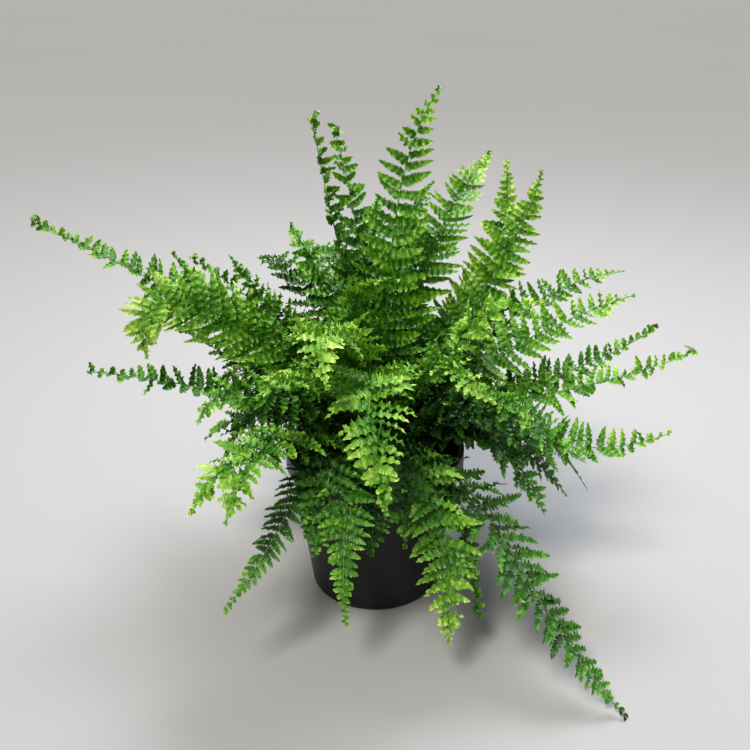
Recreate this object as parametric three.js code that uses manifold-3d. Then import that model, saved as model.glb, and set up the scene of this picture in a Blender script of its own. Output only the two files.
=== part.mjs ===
// A young ruffled Boston fern in a plain round nursery pot.
// Millimetres, +Z up, seen from the front along +Y. The origin is the centre of the pot's underside.

import * as THREE from 'three';
import { mergeVertices } from 'three/addons/utils/BufferGeometryUtils.js';
import Module from 'manifold-3d';

const wasm = await Module();
wasm.setup();

// Pot: one thin moulded wall with a rim band and a flat floor
const potHeight = 84;
const rimDiameter = 96;
const baseDiameter = 70;
const wallThickness = 1.2;
const floorThickness = 1.6;
const rimBandHeight = 10;
const rimBandStep = 1.6; // how far the rim band stands out from the wall below it
const rimRounding = 0.6;
const baseRounding = 2;
const drainHoleCount = 8;
const drainHoleDiameter = 8;
const drainCircleDiameter = 48;
const drainHoleSides = 16;
const potSides = 48;

// Potting soil: fills the pot to a little below the rim
const soilDrop = 6; // from the rim down to the soil
const soilRoughness = 0.8; // height of its lumps
const soilRings = 5; // between the rootstock and the wall
const lumpsRound = 5; // waves of the soil's surface in one turn
const lumpsAcross = 3;
const lumpPitch = 0.7; // turns of the waves, in radians to the millimetre

// Rootstock: the scaly crown that every frond grows from
const rootstockDiameter = 52;
const rootstockEdge = 1.5;
const rootstockDome = 6.5;
const rootstockMargin = 2; // left bare outside the outermost stipes
const rootstockSides = 32;
const rootstockRings = 5;

// Fronds
const stipeDiameter = 2;
const tipDiameter = 1;
const bareShare = 0.07; // of each frond's length, below its lowest leaflets
const bladeFoot = 0.55; // share of the full width that the lowest leaflets have
const bladeStart = 0.25; // share of the blade that widens from there
const bladeTaper = 3; // higher keeps the blade wide for longer before its tip
const leastRise = 30; // every stipe climbs at least this far before it bends
const riseShare = 0.55; // of the crest's height, for the higher fronds
const innerSpread = 0.1; // how far out a stipe climbs, as a share of its reach, at the middle
const outerSpread = 0.3; // the same at the edge of the rootstock
const stipeSeat = 0.6; // height of a stipe's foot above the rootstock, as a share of its radius
const trailingArch = 45; // crest of the frond that trails to the surface, above its tip
const ringStep = 11; // along a frond
const sectionSides = 6;
const bladeGap = 1; // least room between two blades

const clearance = 0.3; // between pieces that touch
const weldTolerance = 0.001;

const soilTop = potHeight - soilDrop;
const rootstockBottom = soilTop + clearance;
const crownTop = rootstockBottom + rootstockEdge + rootstockDome;
const onSurface = clearance + tipDiameter / 2 - crownTop; // height of a tip that lies beside the pot
const surfaceCrest = onSurface + trailingArch;

// Each frond, from the upright ones in the middle to the low ones at the edge.
// heading: degrees anticlockwise from +X, seen from above. reach: from the pot's axis to the tip.
// tip and crest: heights above the rootstock. crest steers the arch and shoulder says how far out
// it does so, as a share of the reach. sway bends the arch sideways. width: across the blade.
const fronds = [
  { heading: 136, reach: 43, tip: 163, crest: 108, shoulder: 0.6, sway: 4, width: 32 },
  { heading: 45, reach: 43, tip: 177, crest: 150, shoulder: 0.12, sway: -4, width: 40 },
  { heading: 284, reach: 44, tip: 106, crest: 92, shoulder: 0.2, sway: -34, width: 34 },
  { heading: 109, reach: 66, tip: 152, crest: 112, shoulder: 0.5, sway: -5, width: 30 },
  { heading: 173, reach: 174, tip: 114, crest: 80, shoulder: 0.6, sway: -4, width: 30 },
  { heading: 344, reach: 84, tip: 88, crest: 80, shoulder: 0.6, sway: 8, width: 34 },
  { heading: 54, reach: 108, tip: 133, crest: 122, shoulder: 0.5, sway: -8, width: 36 },
  { heading: 27, reach: 98, tip: 136, crest: 72, shoulder: 0.96, sway: 14, width: 34 },
  { heading: 127, reach: 76, tip: 99, crest: 88, shoulder: 0.6, sway: 5, width: 28 },
  { heading: 197, reach: 72, tip: 111, crest: 72, shoulder: 0.7, sway: 6, width: 32 },
  { heading: 262, reach: 128, tip: 92, crest: 122, shoulder: 0.7, sway: -22, width: 44 },
  { heading: 158, reach: 104, tip: 88, crest: 72, shoulder: 0.7, sway: -6, width: 24 },
  { heading: 88, reach: 60, tip: 118, crest: 104, shoulder: 0.45, sway: 5, width: 32 },
  { heading: 306, reach: 90, tip: 58, crest: 84, shoulder: 0.55, sway: -14, width: 34 },
  { heading: 43, reach: 97, tip: 137, crest: 68, shoulder: 1, sway: -16, width: 34 },
  { heading: 112, reach: 98, tip: 78, crest: 98, shoulder: 0.62, sway: -6, width: 34 },
  { heading: 17, reach: 149, tip: 67, crest: 58, shoulder: 0.6, sway: -6, width: 38 },
  { heading: 68, reach: 88, tip: 120, crest: 110, shoulder: 0.55, sway: 8, width: 34 },
  { heading: 241, reach: 104, tip: 70, crest: 76, shoulder: 0.65, sway: 6, width: 40 },
  { heading: 193, reach: 114, tip: 60, crest: 123, shoulder: 1.1, sway: 0, width: 42 },
  { heading: 0, reach: 162, tip: 51, crest: 16, shoulder: 0.6, sway: 6, width: 34 },
  { heading: 166, reach: 108, tip: 95, crest: 70, shoulder: 0.8, sway: 5, width: 26 },
  { heading: 215, reach: 101, tip: 40, crest: 68, shoulder: 0.82, sway: -5, width: 36 },
  { heading: 96, reach: 162, tip: 44, crest: 92, shoulder: 0.65, sway: -10, width: 34 },
  { heading: 123, reach: 130, tip: 66, crest: 88, shoulder: 0.6, sway: 6, width: 36 },
  { heading: 272, reach: 128, tip: 36, crest: 112, shoulder: 0.74, sway: -12, width: 46 },
  { heading: 29, reach: 166, tip: 68, crest: 70, shoulder: 0.64, sway: 8, width: 34 },
  { heading: 325, reach: 92, tip: 30, crest: 62, shoulder: 0.7, sway: 6, width: 36 },
  { heading: 76, reach: 146, tip: 68, crest: 98, shoulder: 0.62, sway: 8, width: 34 },
  { heading: 58, reach: 138, tip: 0, crest: 62, shoulder: 0.74, sway: -8, width: 34 },
  { heading: 10, reach: 152, tip: 53, crest: 24, shoulder: 0.65, sway: -6, width: 26 },
  { heading: 237, reach: 120, tip: 13, crest: 52, shoulder: 0.8, sway: -6, width: 40 },
  { heading: 143, reach: 156, tip: 28, crest: 72, shoulder: 0.66, sway: 6, width: 32 },
  { heading: 160, reach: 118, tip: 50, crest: 34, shoulder: 0.62, sway: 6, width: 30 },
  { heading: 188, reach: 145, tip: 50, crest: 38, shoulder: 0.62, sway: -5, width: 30 },
  { heading: 353, reach: 154, tip: 15, crest: -10, shoulder: 0.62, sway: -12, width: 40 },
  { heading: 340, reach: 112, tip: 8, crest: 30, shoulder: 0.66, sway: 6, width: 38 },
  { heading: 261, reach: 90, tip: -51, crest: 24, shoulder: 0.92, sway: -5, width: 30 },
  { heading: 205, reach: 92, tip: 22, crest: 44, shoulder: 0.72, sway: 6, width: 32 },
  { heading: 226, reach: 120, tip: 9, crest: 50, shoulder: 0.78, sway: 6, width: 40 },
  { heading: 118, reach: 104, tip: -32, crest: 46, shoulder: 0.86, sway: 8, width: 32 },
  { heading: 280, reach: 80, tip: -14, crest: 44, shoulder: 0.86, sway: 5, width: 32 },
  { heading: 38, reach: 126, tip: -14, crest: 40, shoulder: 0.76, sway: 6, width: 32 },
  { heading: 20, reach: 92, tip: -52, crest: 22, shoulder: 0.8, sway: -5, width: 28 },
  { heading: 243, reach: 74, tip: -18, crest: 30, shoulder: 0.82, sway: 5, width: 30 },
  { heading: 306, reach: 88, tip: -62, crest: 8, shoulder: 0.86, sway: -5, width: 20 },
  { heading: 5, reach: 120, tip: -37, crest: 14, shoulder: 0.74, sway: 6, width: 30 },
  { heading: 176, reach: 84, tip: -22, crest: 32, shoulder: 0.8, sway: 6, width: 32 },
  { heading: 86, reach: 110, tip: -28, crest: 50, shoulder: 0.82, sway: 5, width: 32 },
  { heading: 330, reach: 98, tip: -16, crest: 20, shoulder: 0.76, sway: 5, width: 34 },
  { heading: 150, reach: 112, tip: -8, crest: 48, shoulder: 0.78, sway: -6, width: 34 },
  { heading: 268, reach: 70, tip: -26, crest: 22, shoulder: 0.88, sway: 5, width: 28 },
  { heading: 290, reach: 101, tip: -58, crest: 14, shoulder: 0.88, sway: 6, width: 38 },
  { heading: 233, reach: 117, tip: -40, crest: -6, shoulder: 0.7, sway: 14, width: 30 },
  { heading: 348, reach: 104, tip: -22, crest: 16, shoulder: 0.72, sway: -5, width: 32 },
  { heading: 249, reach: 80, tip: -22, crest: 36, shoulder: 0.86, sway: 5, width: 34 },
  { heading: 316, reach: 164, tip: onSurface, crest: surfaceCrest, shoulder: 0.68, sway: -17, width: 40 },
];

const potPlastic = new THREE.MeshStandardMaterial({ color: '#24262a', roughness: 0.55, metalness: 0 });
const peat = new THREE.MeshStandardMaterial({ color: '#33241a', roughness: 0.95, metalness: 0 });
const scales = new THREE.MeshStandardMaterial({ color: '#6b4a2a', roughness: 0.85, metalness: 0 });
const frondGreen = new THREE.MeshStandardMaterial({ color: '#3f8a2c', roughness: 0.55, metalness: 0 });

function named(name, geometry, material) {
  const mesh = new THREE.Mesh(geometry, material.clone());
  mesh.name = name;
  return mesh;
}

// Only shared positions are left, so that the surface closes.
function welded(geometry) {
  geometry.deleteAttribute('normal');
  geometry.deleteAttribute('uv');
  return mergeVertices(geometry, weldTolerance);
}

function solidOf(geometry) {
  const shared = welded(geometry);
  return new wasm.Manifold(
    new wasm.Mesh({
      numProp: 3,
      vertProperties: new Float32Array(shared.attributes.position.array),
      triVerts: new Uint32Array(shared.index.array),
    }),
  );
}

function geometryOf(solid) {
  const mesh = solid.getMesh();
  const geometry = new THREE.BufferGeometry();
  geometry.setAttribute('position', new THREE.BufferAttribute(mesh.vertProperties, 3));
  geometry.setIndex(new THREE.BufferAttribute(mesh.triVerts, 1));
  return geometry;
}

// Lathe profiles are drawn as radius and height, and turned about +Z.
function turned(outline, sides) {
  const points = outline.map(([radius, height]) => new THREE.Vector2(radius, height));
  return new THREE.LatheGeometry(points, sides).rotateX(Math.PI / 2);
}

// The outer wall's radius at a height, below the rim band
const neckRadius = rimDiameter / 2 - rimBandStep;
function outerRadius(height) {
  return THREE.MathUtils.lerp(baseDiameter / 2, neckRadius, height / potHeight);
}

function makePot() {
  const rim = rimDiameter / 2;
  const base = baseDiameter / 2;
  const bandBottom = potHeight - rimBandHeight;
  const body = turned(
    [
      [0, 0],
      [base - baseRounding, 0],
      [outerRadius(baseRounding), baseRounding],
      [outerRadius(bandBottom - rimBandStep), bandBottom - rimBandStep],
      [rim, bandBottom],
      [rim, potHeight - rimRounding],
      [rim - rimRounding, potHeight],
      [neckRadius - wallThickness + rimRounding, potHeight],
      [neckRadius - wallThickness, potHeight - rimRounding],
      [outerRadius(floorThickness) - wallThickness, floorThickness],
      [0, floorThickness],
    ],
    potSides,
  );
  const radius = drainHoleDiameter / 2;
  const circle = drainCircleDiameter / 2;
  let pot = solidOf(body);
  for (let hole = 0; hole < drainHoleCount; hole += 1) {
    const angle = (2 * Math.PI * hole) / drainHoleCount;
    const drill = new THREE.CylinderGeometry(radius, radius, 4 * floorThickness, drainHoleSides);
    drill.rotateX(Math.PI / 2);
    drill.translate(circle * Math.cos(angle), circle * Math.sin(angle), 0);
    pot = pot.subtract(solidOf(drill));
  }
  return geometryOf(pot);
}

function makeSoil() {
  const bottom = floorThickness + clearance;
  const inner = (height) => outerRadius(height) - wallThickness - clearance;
  const edge = inner(soilTop) - soilRoughness;
  const flat = rootstockDiameter / 2 + clearance;
  const top = [];
  for (let ring = 0; ring <= soilRings; ring += 1) {
    top.push([THREE.MathUtils.lerp(edge, flat, ring / soilRings), soilTop]);
  }
  const side = [[0, bottom], [inner(bottom), bottom], [edge, soilTop - 2 * soilRoughness]];
  const geometry = turned([...side, ...top, [0, soilTop]], potSides);
  const place = geometry.attributes.position;
  for (let i = 0; i < place.count; i += 1) {
    const radius = Math.hypot(place.getX(i), place.getY(i));
    const open = radius > flat + clearance && Math.abs(place.getZ(i) - soilTop) < clearance;
    if (open) {
      const angle = Math.atan2(place.getY(i), place.getX(i));
      const round = Math.sin(lumpsRound * angle + radius);
      const lump = round * Math.cos(lumpsAcross * angle - lumpPitch * radius);
      place.setZ(i, soilTop + soilRoughness * lump);
    }
  }
  return welded(geometry);
}

function domeHeight(radius) {
  const share = radius / (rootstockDiameter / 2);
  return rootstockBottom + rootstockEdge + rootstockDome * (1 - share * share);
}

function makeRootstock() {
  const edge = rootstockDiameter / 2;
  const outline = [[0, rootstockBottom], [edge, rootstockBottom]];
  for (let ring = rootstockRings; ring >= 0; ring -= 1) {
    const radius = (edge * ring) / rootstockRings;
    outline.push([radius, domeHeight(radius)]);
  }
  return welded(turned(outline, rootstockSides));
}

// A frond's midline, in the upright plane of its heading apart from its sway
function spineOf(frond, order) {
  const share = (order + 0.5) / fronds.length;
  const baseRadius = (rootstockDiameter / 2 - rootstockMargin) * Math.sqrt(share);
  const spread = THREE.MathUtils.lerp(innerSpread, outerSpread, share);
  const baseHeight = domeHeight(baseRadius) + clearance + stipeSeat * (stipeDiameter / 2);
  const rise = Math.max(riseShare * frond.crest, leastRise);
  const angle = THREE.MathUtils.degToRad(frond.heading);
  const at = (out, side, height) =>
    new THREE.Vector3(out, side, height).applyAxisAngle(new THREE.Vector3(0, 0, 1), angle);
  return new THREE.CubicBezierCurve3(
    at(baseRadius, 0, baseHeight),
    at(baseRadius + spread * frond.reach, 0, baseHeight + rise),
    at(frond.shoulder * frond.reach, frond.sway, crownTop + frond.crest),
    at(frond.reach, 0, crownTop + frond.tip),
  );
}

const samplesPerRing = 4;
const spines = fronds.map((frond, order) => {
  const curve = spineOf(frond, order);
  const rings = Math.round(curve.getLength() / ringStep);
  return { curve, rings, samples: curve.getSpacedPoints(rings * samplesPerRing) };
});

// Half of the way to the nearest other midline, or all of the way to the pot's rim
function roomAt(point, own) {
  const radius = Math.hypot(point.x, point.y);
  let room = Math.hypot(radius - rimDiameter / 2, point.z - potHeight) - bladeGap;
  for (const other of spines) {
    if (other !== own) {
      for (const sample of other.samples) {
        room = Math.min(room, (point.distanceTo(sample) - bladeGap) / 2);
      }
    }
  }
  return room;
}

function bladeHalfWidth(frond, along) {
  const onBlade = Math.max(0, (along - bareShare) / (1 - bareShare));
  const widening = THREE.MathUtils.lerp(bladeFoot, 1, THREE.MathUtils.smoothstep(onBlade, 0, bladeStart));
  return (frond.width / 2) * widening * (1 - onBlade ** bladeTaper);
}

// A closed tube whose rings are flattened into the blade, and no wider than the room they have
function makeFrond(frond, spine) {
  const { curve, rings, samples } = spine;
  const rooms = samples.map((point) => roomAt(point, spine));
  const angle = THREE.MathUtils.degToRad(frond.heading);
  const across = new THREE.Vector3(-Math.sin(angle), Math.cos(angle), 0);
  const frames = [];
  for (let ring = 0; ring <= rings; ring += 1) {
    const along = ring / rings;
    const from = Math.max(0, (ring - 1) * samplesPerRing);
    const room = Math.min(...rooms.slice(from, (ring + 1) * samplesPerRing + 1));
    const half = THREE.MathUtils.lerp(stipeDiameter, tipDiameter, along) / 2;
    const tangent = curve.getTangentAt(along);
    const side = across.clone().addScaledVector(tangent, -across.dot(tangent)).normalize();
    frames.push({
      centre: curve.getPointAt(along),
      side,
      face: new THREE.Vector3().crossVectors(side, tangent),
      halfWidth: Math.max(half, Math.min(bladeHalfWidth(frond, along), room)),
      halfThickness: half,
    });
  }
  const geometry = new THREE.CylinderGeometry(1, 1, 1, sectionSides, rings);
  const place = geometry.attributes.position;
  for (let i = 0; i < place.count; i += 1) {
    const frame = frames[Math.round((place.getY(i) + 0.5) * rings)];
    const point = frame.centre.clone();
    point.addScaledVector(frame.side, place.getX(i) * frame.halfWidth);
    point.addScaledVector(frame.face, place.getZ(i) * frame.halfThickness);
    place.setXYZ(i, point.x, point.y, point.z);
  }
  return welded(geometry);
}

const fern = new THREE.Group();
fern.add(named('pot', makePot(), potPlastic));
fern.add(named('potting_soil', makeSoil(), peat));
fern.add(named('rootstock', makeRootstock(), scales));
fronds.forEach((frond, order) => {
  const number = String(order + 1).padStart(2, '0');
  fern.add(named(`frond_${number}`, makeFrond(frond, spines[order]), frondGreen));
});

export default fern;
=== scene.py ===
import math

import bmesh
import bpy
import numpy as np
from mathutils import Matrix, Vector, noise


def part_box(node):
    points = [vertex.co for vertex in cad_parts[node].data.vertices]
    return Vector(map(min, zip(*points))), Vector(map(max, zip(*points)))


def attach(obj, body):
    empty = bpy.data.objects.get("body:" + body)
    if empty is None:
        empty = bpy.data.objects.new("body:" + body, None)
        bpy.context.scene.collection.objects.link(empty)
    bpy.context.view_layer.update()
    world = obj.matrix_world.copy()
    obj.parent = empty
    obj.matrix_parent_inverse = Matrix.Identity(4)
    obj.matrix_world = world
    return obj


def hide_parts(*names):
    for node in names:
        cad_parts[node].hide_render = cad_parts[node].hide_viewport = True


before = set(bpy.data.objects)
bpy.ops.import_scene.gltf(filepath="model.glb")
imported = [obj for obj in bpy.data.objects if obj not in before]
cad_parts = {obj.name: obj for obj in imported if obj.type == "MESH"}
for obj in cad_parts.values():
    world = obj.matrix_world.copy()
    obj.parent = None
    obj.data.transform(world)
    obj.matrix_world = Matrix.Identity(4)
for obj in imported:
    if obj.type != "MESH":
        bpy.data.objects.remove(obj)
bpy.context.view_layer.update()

# Ruffled Boston fern in a small nursery pot. Metres, +Z up, origin under the pot's middle.
mm = 0.001
scene = bpy.context.scene

_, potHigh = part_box("pot")
soilLow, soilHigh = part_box("potting_soil")
crownLow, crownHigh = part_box("rootstock")
crownTop = crownHigh.z
crownRadius = crownHigh.x

# how the picture is taken: from the front, a little above the leaves
cameraView = {
    "elevation": 25.0,
    "distance": 0.5,
    "aimAboveCrown": 0.0387,
    "lens": 46.0,
    "sensor": 36.0,
    "nearest": 0.02,
}


def makeCamera(view):
    camera = bpy.data.cameras.new("camera")
    camera.lens = view["lens"]
    camera.sensor_width = view["sensor"]
    camera.clip_start = view["nearest"]
    seat = bpy.data.objects.new("camera", camera)
    scene.collection.objects.link(seat)
    tilt = math.radians(view["elevation"])
    aim = Vector((0.0, 0.0, crownTop + view["aimAboveCrown"]))
    seat.location = aim + view["distance"] * Vector((0.0, -math.cos(tilt), math.sin(tilt)))
    seat.rotation_euler = (math.pi / 2 - tilt, 0.0, 0.0)
    scene.camera = seat


makeCamera(cameraView)


# ---- materials

toneLayer = "leafData"  # colours held by a mesh: its tone, how woody, and how far along the rachis
noiseRange = (0.3, 0.7)  # where nearly all values of a noise lie
fullRange = (0.0, 1.0)


def linear(hexText):
    # sRGB hex to the linear colour that sockets take
    parts = [int(hexText[i:i + 2], 16) / 255 for i in (1, 3, 5)]
    return [p / 12.92 if p <= 0.04045 else ((p + 0.055) / 1.055) ** 2.4 for p in parts] + [1.0]


def addNode(tree, kind, inputs=None, **settings):
    # a node with its settings; an input is a value, or an output socket to link from
    node = tree.nodes.new(kind)
    for name, value in settings.items():
        setattr(node, name, value)
    for name, value in (inputs or {}).items():
        if isinstance(value, bpy.types.NodeSocket):
            tree.links.new(value, node.inputs[name])
        else:
            node.inputs[name].default_value = value
    return node


def rampColour(tree, value, stops):
    # stops: (place, hex colour) pairs
    ramp = addNode(tree, "ShaderNodeValToRGB", {0: value})
    while len(ramp.color_ramp.elements) < len(stops):
        ramp.color_ramp.elements.new(0.5)
    for element, (place, colour) in zip(ramp.color_ramp.elements, stops):
        element.position = place
        element.color = linear(colour)
    return ramp.outputs[0]


def mixColour(tree, share, first, second):
    inputs = {0: share, 6: first, 7: second}
    return addNode(tree, "ShaderNodeMix", inputs, data_type="RGBA").outputs[2]


def remap(tree, value, old, new):
    # a value moved from one range to another
    inputs = {0: value, 1: old[0], 2: old[1], 3: new[0], 4: new[1]}
    return addNode(tree, "ShaderNodeMapRange", inputs).outputs[0]


def shifted(tree, tone, shift):
    inputs = {0: tone, 1: shift}
    return addNode(tree, "ShaderNodeMath", inputs, operation="ADD", use_clamp=True).outputs[0]


def noiseTexture(tree, place, size, detail, rough=0.5):
    # size: mm across one feature
    inputs = {"Vector": place, "Scale": 1 / (size * mm), "Detail": detail, "Roughness": rough}
    return addNode(tree, "ShaderNodeTexNoise", inputs).outputs[0]


def bump(tree, height, strength, depth):
    # depth: mm
    inputs = {"Height": height, "Strength": strength, "Distance": depth * mm}
    return addNode(tree, "ShaderNodeBump", inputs).outputs[0]


def objectPlace(tree):
    return addNode(tree, "ShaderNodeTexCoord").outputs["Object"]


def meshTones(tree):
    held = addNode(tree, "ShaderNodeAttribute", attribute_name=toneLayer).outputs["Color"]
    split = addNode(tree, "ShaderNodeSeparateColor", {0: held})
    return split.outputs[0], split.outputs[1], split.outputs[2]


def newMaterial(name):
    material = bpy.data.materials.new(name)
    material.use_nodes = True
    tree = material.node_tree
    tree.nodes.clear()
    output = addNode(tree, "ShaderNodeOutputMaterial")
    return material, tree, output


leafLook = {
    "tones": [
        (0.0, "#072801"), (0.25, "#1c4c07"), (0.5, "#3e7a15"), (0.75, "#7bae31"), (1.0, "#d0e67c"),
    ],
    "rachis": [(0.0, "#46361b"), (0.35, "#486624"), (1.0, "#709a3a")],
    "patch": 9.0,  # mm across a patch of lighter or darker green
    "patchShift": 0.10,  # how much lighter or darker, in tone
    "crinkle": 1.1,  # mm across the puckers between the veins
    "crinkleDepth": 0.45,
    "roughness": 0.34,  # waxy cuticle: a soft pale gloss on each lobe
    "glossier": 0.06,
    "duller": 0.1,
    "translucency": 0.14,
}


def makeLeafMaterial(look):
    # Living fern leaf: thin, waxy above, lit through by daylight. Its tone runs from old deep
    # green to young yellow-green, with painted shade and painted highlights held in it too, and the woody
    # part is the rachis and, faintly, each midrib.
    material, tree, output = newMaterial("fernLeaf")
    tone, wood, base = meshTones(tree)
    place = objectPlace(tree)
    patches = noiseTexture(tree, place, look["patch"], detail=3.0, rough=0.6)
    shift = remap(tree, patches, noiseRange, (-look["patchShift"], look["patchShift"]))
    green = rampColour(tree, shifted(tree, tone, shift), look["tones"])
    stalk = rampColour(tree, base, look["rachis"])
    colour = mixColour(tree, wood, green, stalk)
    puckers = noiseTexture(tree, place, look["crinkle"], detail=2.0)
    relief = bump(tree, puckers, strength=0.9, depth=look["crinkleDepth"])
    sheen = (look["roughness"] - look["glossier"], look["roughness"] + look["duller"])
    leaf = addNode(
        tree, "ShaderNodeBsdfPrincipled",
        {
            "Base Color": colour, "Roughness": remap(tree, patches, fullRange, sheen), "IOR": 1.45,
            "Normal": relief, "Specular IOR Level": 0.65, "Sheen Weight": 0.05, "Sheen Roughness": 0.4,
        },
    )
    through = addNode(
        tree, "ShaderNodeHueSaturation", {"Color": colour, "Hue": 0.485, "Saturation": 1.05, "Value": 1.5},
    )
    glow = addNode(tree, "ShaderNodeBsdfTranslucent", {"Color": through.outputs[0], "Normal": relief})
    blend = addNode(
        tree, "ShaderNodeMixShader", {0: look["translucency"], 1: leaf.outputs[0], 2: glow.outputs[0]},
    )
    tree.links.new(blend.outputs[0], output.inputs["Surface"])
    return material


def makeBrownMaterial(name, look):
    # matt brown by the mesh's tone, mottled by fibres too fine to model
    material, tree, output = newMaterial(name)
    tone, _, _ = meshTones(tree)
    fibre = noiseTexture(tree, objectPlace(tree), look["fibre"], look["detail"], look["fineness"])
    shift = remap(tree, fibre, noiseRange, (-look["mottle"], look["mottle"]))
    body = addNode(
        tree, "ShaderNodeBsdfPrincipled",
        {
            "Base Color": rampColour(tree, shifted(tree, tone, shift), look["tones"]), "IOR": 1.4,
            "Roughness": look["roughness"], "Normal": bump(tree, fibre, look["bump"], look["bumpDepth"]),
        },
    )
    tree.links.new(body.outputs[0], output.inputs["Surface"])
    return material


leafMaterial = makeLeafMaterial(leafLook)
print("leaf material ready")


# ---- meshes

def meshPiece(name, points, faces, material, data=None, flatMap=None):
    # faces: index arrays of three or four columns; data: a colour per point; flatMap: a UV per point
    mesh = bpy.data.meshes.new(name)
    mesh.vertices.add(len(points))
    mesh.vertices.foreach_set("co", np.asarray(points, np.float32).ravel())
    corners = np.concatenate([f.ravel() for f in faces]).astype(np.int32)
    sizes = np.concatenate([np.full(len(f), f.shape[1]) for f in faces])
    starts = np.concatenate([[0], np.cumsum(sizes)[:-1]]).astype(np.int32)
    mesh.loops.add(len(corners))
    mesh.loops.foreach_set("vertex_index", corners)
    mesh.polygons.add(len(sizes))
    mesh.polygons.foreach_set("loop_start", starts)
    mesh.polygons.foreach_set("use_smooth", np.ones(len(sizes), bool))
    if data is not None:
        layer = mesh.color_attributes.new(toneLayer, "FLOAT_COLOR", "POINT")
        layer.data.foreach_set("color", np.asarray(data, np.float32).ravel())
    if flatMap is not None:
        layer = mesh.uv_layers.new(name="OFBake")
        layer.uv.foreach_set("vector", np.asarray(flatMap, np.float32)[corners].ravel())
    mesh.update(calc_edges=True)
    mesh.validate()
    mesh.materials.append(material)
    piece = bpy.data.objects.new(name, mesh)
    scene.collection.objects.link(piece)
    return piece


def gridFaces(rows, columns, flip=False):
    index = np.arange(rows * columns).reshape(rows, columns)
    quads = np.stack([index[:-1, :-1], index[1:, :-1], index[1:, 1:], index[:-1, 1:]], -1).reshape(-1, 4)
    return quads[:, ::-1] if flip else quads


def unit(vectors):
    return vectors / np.linalg.norm(vectors, axis=-1, keepdims=True)


def smooth(low, high, value):
    share = np.clip((value - low) / (high - low), 0, 1)
    return share * share * (3 - 2 * share)


def polar(radius, angle, height):
    return np.array([radius * math.cos(angle), radius * math.sin(angle), height])


def joined(parts):
    # parts: (points, faces, colours) whose faces have the same number of corners
    first, points, faces, data = 0, [], [], []
    for verts, corners, colours in parts:
        points.append(verts)
        faces.append(corners + first)
        data.append(colours)
        first += len(verts)
    return np.concatenate(points), [np.concatenate(faces)], np.concatenate(data)


# ---- fronds

# what every frond shares; mm, shares and powers
frondPlan = {
    # the midline, the blade's outline and the dome below, on the same lines as in the frame
    "rootstockMargin": 2.0, "seat": 0.9, "leastRise": 30.0, "riseShare": 0.55, "innerSpread": 0.1,
    "outerSpread": 0.3, "edge": 1.5, "dome": 6.5, "onSurface": -85.5, "trailingArch": 45,
    "bareShare": 0.07, "bladeFoot": 0.55, "bladeGain": 0.45, "bladeStart": 0.25,
    # points on the midline, and where along it the blade's twist begins and ends
    "samples": 400, "step": 0.5, "twistFrom": 0.05, "twistTo": 0.5,
    # the rachis, a ring of points at every fourth step
    "stipeRadius": 0.95, "tipRadius": 0.22, "stipePower": 1.7, "sides": 8, "ringEvery": 4,
    "grooveDepth": 0.28, "grooveNarrowness": 14, "greening": 1.3,
    # how the leaflets are set out, and how much they differ
    "seed": 700, "habit": (0.88, 1.16), "fullness": 1.1, "leastGap": 1.2, "gapPower": 0.6,
    "formFrom": 0.4, "formTo": 0.75, "lengthDrift": 0.07, "leastDrift": 0.1, "gapDrift": 0.1,
    # their tone: young towards the tip, dark where the end has withered
    "youngFrom": 0.55, "youngGain": 0.15, "toneDrift": 0.05, "withered": 0.95, "witheredLoss": 0.7,
    "clearance": 0.15, "mapMargin": 0.06, "mapShare": 0.88,
}

# the coil at the end of a young frond; mm
coilPlan = {"radius": 2.6, "tightening": 0.62, "stepsPerTurn": 60, "leastSteps": 6}

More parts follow.
